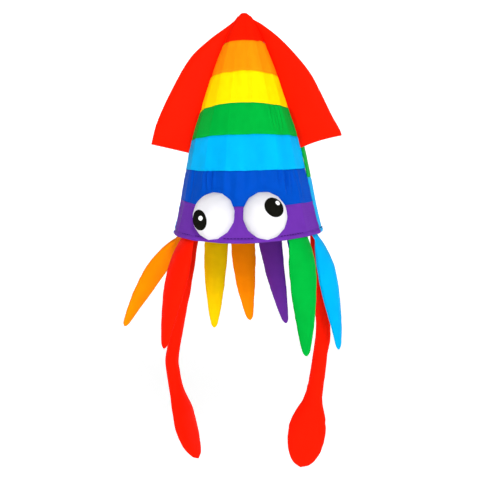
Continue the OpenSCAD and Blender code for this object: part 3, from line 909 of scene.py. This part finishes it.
def build_tentacle(name, seed):
    path, twist = LONGS[name]
    angle, radius = root_of(name)
    drop = ARM_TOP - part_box(name + "_club_cloth")[0].z

    def centre(t):
        out = radius + smooth(t, path) * MM + ROOT_IN * drop * np.minimum(t, 0)
        run = outward(np.array(angle)) * out[:, None]
        return run + np.array([0, 0, 1]) * (ARM_TOP - drop * t[:, None])

    def half_size(t, table):
        down = np.clip(t, 0, 1)
        return np.maximum(smooth(down, table) * MM * rounded_end(down, LONG_END), 0.05 * MM)

    top = -(ROOT_UP + hem_rise(angle)) / drop
    upper_t = np.linspace(top, SLEEVE_END, 90)
    club_top = SLEEVE_END - SLEEVE_LAP
    lower_t = club_top + (1 - club_top) * np.sin(np.linspace(0, np.pi / 2, 110))
    lower_t[-1] = 0.9998
    crease = LONG_CREASE if name == "right_tentacle" else None
    for body, parent, t, before in ((name, "hat", upper_t, 3 * MM),
                                    (name + "_club", name, lower_t, 12 * MM)):
        turn = math.radians(twist) * smooth(t, LONG_TWIST)
        half_w, half_t = half_size(t, LONG_HALF_W), half_size(t, LONG_HALF_T)
        piece = stuffed_sleeve(body + "_sleeve", t, centre, angle, turn, half_w, half_t, drop,
                               seed, CLOTHS["red"], crease)
        finish_sleeve(piece, parent, body, before)


# ---- Studio ---------------------------------------------------------------------------------

FLOOR_DROP = 200 * MM  # how far the floor lies below the lowest club
PAPER_GLOW, WORLD_GLOW = 0.49, 0.08  # keep the background white


def build_studio():
    """A pale floor that curves up into a round wall, and soft lights."""
    floor_z = CAD_BOX[0].z - FLOOR_DROP
    flat, cove, wall = 2.0, 1.2, 2.2
    bend = np.linspace(0, np.pi / 2, 24)
    radius = np.r_[0.001, 0.5, 1.2, flat + cove * np.sin(bend), flat + cove]
    height = np.r_[0, 0, 0, cove * (1 - np.cos(bend)), wall]
    a = np.linspace(0, 2 * np.pi, 96, endpoint=False)
    grid = np.stack([np.outer(radius, np.cos(a)), np.outer(radius, np.sin(a)),
                     np.outer(height + floor_z, np.ones_like(a))], axis=-1)
    uv = grid[..., :2]
    n = Nodes("studio_paper")
    n.shader.inputs["Base Color"].default_value = (0.93, 0.93, 0.93, 1)
    n.shader.inputs["Roughness"].default_value = 0.95
    n.shader.inputs["Emission Color"].default_value = (1, 1, 1, 1)
    n.shader.inputs["Emission Strength"].default_value = PAPER_GLOW
    faces = quads(len(radius), len(a), wrap=True)
    studio = add_mesh("studio_floor", grid.reshape(-1, 3), faces, uv.reshape(-1, 2), n.material)

    world = bpy.data.worlds.new("studio")
    world.use_nodes = True
    world.node_tree.nodes["Background"].inputs["Color"].default_value = (1, 1, 1, 1)
    world.node_tree.nodes["Background"].inputs["Strength"].default_value = WORLD_GLOW
    bpy.context.scene.world = world
    area("key", (0.45, -1.45, 0.75), 0.5, 17)
    area("fill", (0.1, -1.5, -0.2), 1.0, 2.2)
    area("top", (0.0, 0.2, 1.7), 1.6, 3)


def area(name, place, size, power):
    light = bpy.data.lights.new(name, "AREA")
    light.size = size
    light.energy = power
    lamp = bpy.data.objects.new(name, light)
    lamp.location = place
    aim = Vector((0, 0, 0.02)) - Vector(place)
    lamp.rotation_euler = aim.to_track_quat("-Z", "Y").to_euler()
    bpy.context.scene.collection.objects.link(lamp)


def build_camera():
    azimuth, distance, height = math.radians(6.5), 0.880, 0.072
    tilt, yaw, roll = math.radians(2.5), math.radians(-0.6), math.radians(-0.8)
    data = bpy.data.cameras.new("camera")
    data.sensor_width = 36
    data.lens = 49.7
    data.shift_y = -0.06
    data.clip_start, data.clip_end = 0.05, 20
    camera = bpy.data.objects.new("camera", data)
    level = Matrix.Rotation(azimuth - yaw, 4, "Z") @ Matrix.Rotation(math.pi / 2 - tilt, 4, "X")
    place = Vector((math.sin(azimuth) * distance, -math.cos(azimuth) * distance, height))
    camera.matrix_world = Matrix.Translation(place) @ level @ Matrix.Rotation(roll, 4, "Z")
    bpy.context.scene.collection.objects.link(camera)
    bpy.context.scene.camera = camera


build_camera()
build_studio()
build_cone()
for fin in FINS:
    build_fin(fin)
for eye in EYES:
    Eye(eye).build()
for number, arm in enumerate(ARMS):
    build_arm(arm, 100 + 10 * number)
for number, arm in enumerate(LONGS):
    build_tentacle(arm, 300 + 10 * number)
bpy.context.scene.view_settings.view_transform = "Standard"
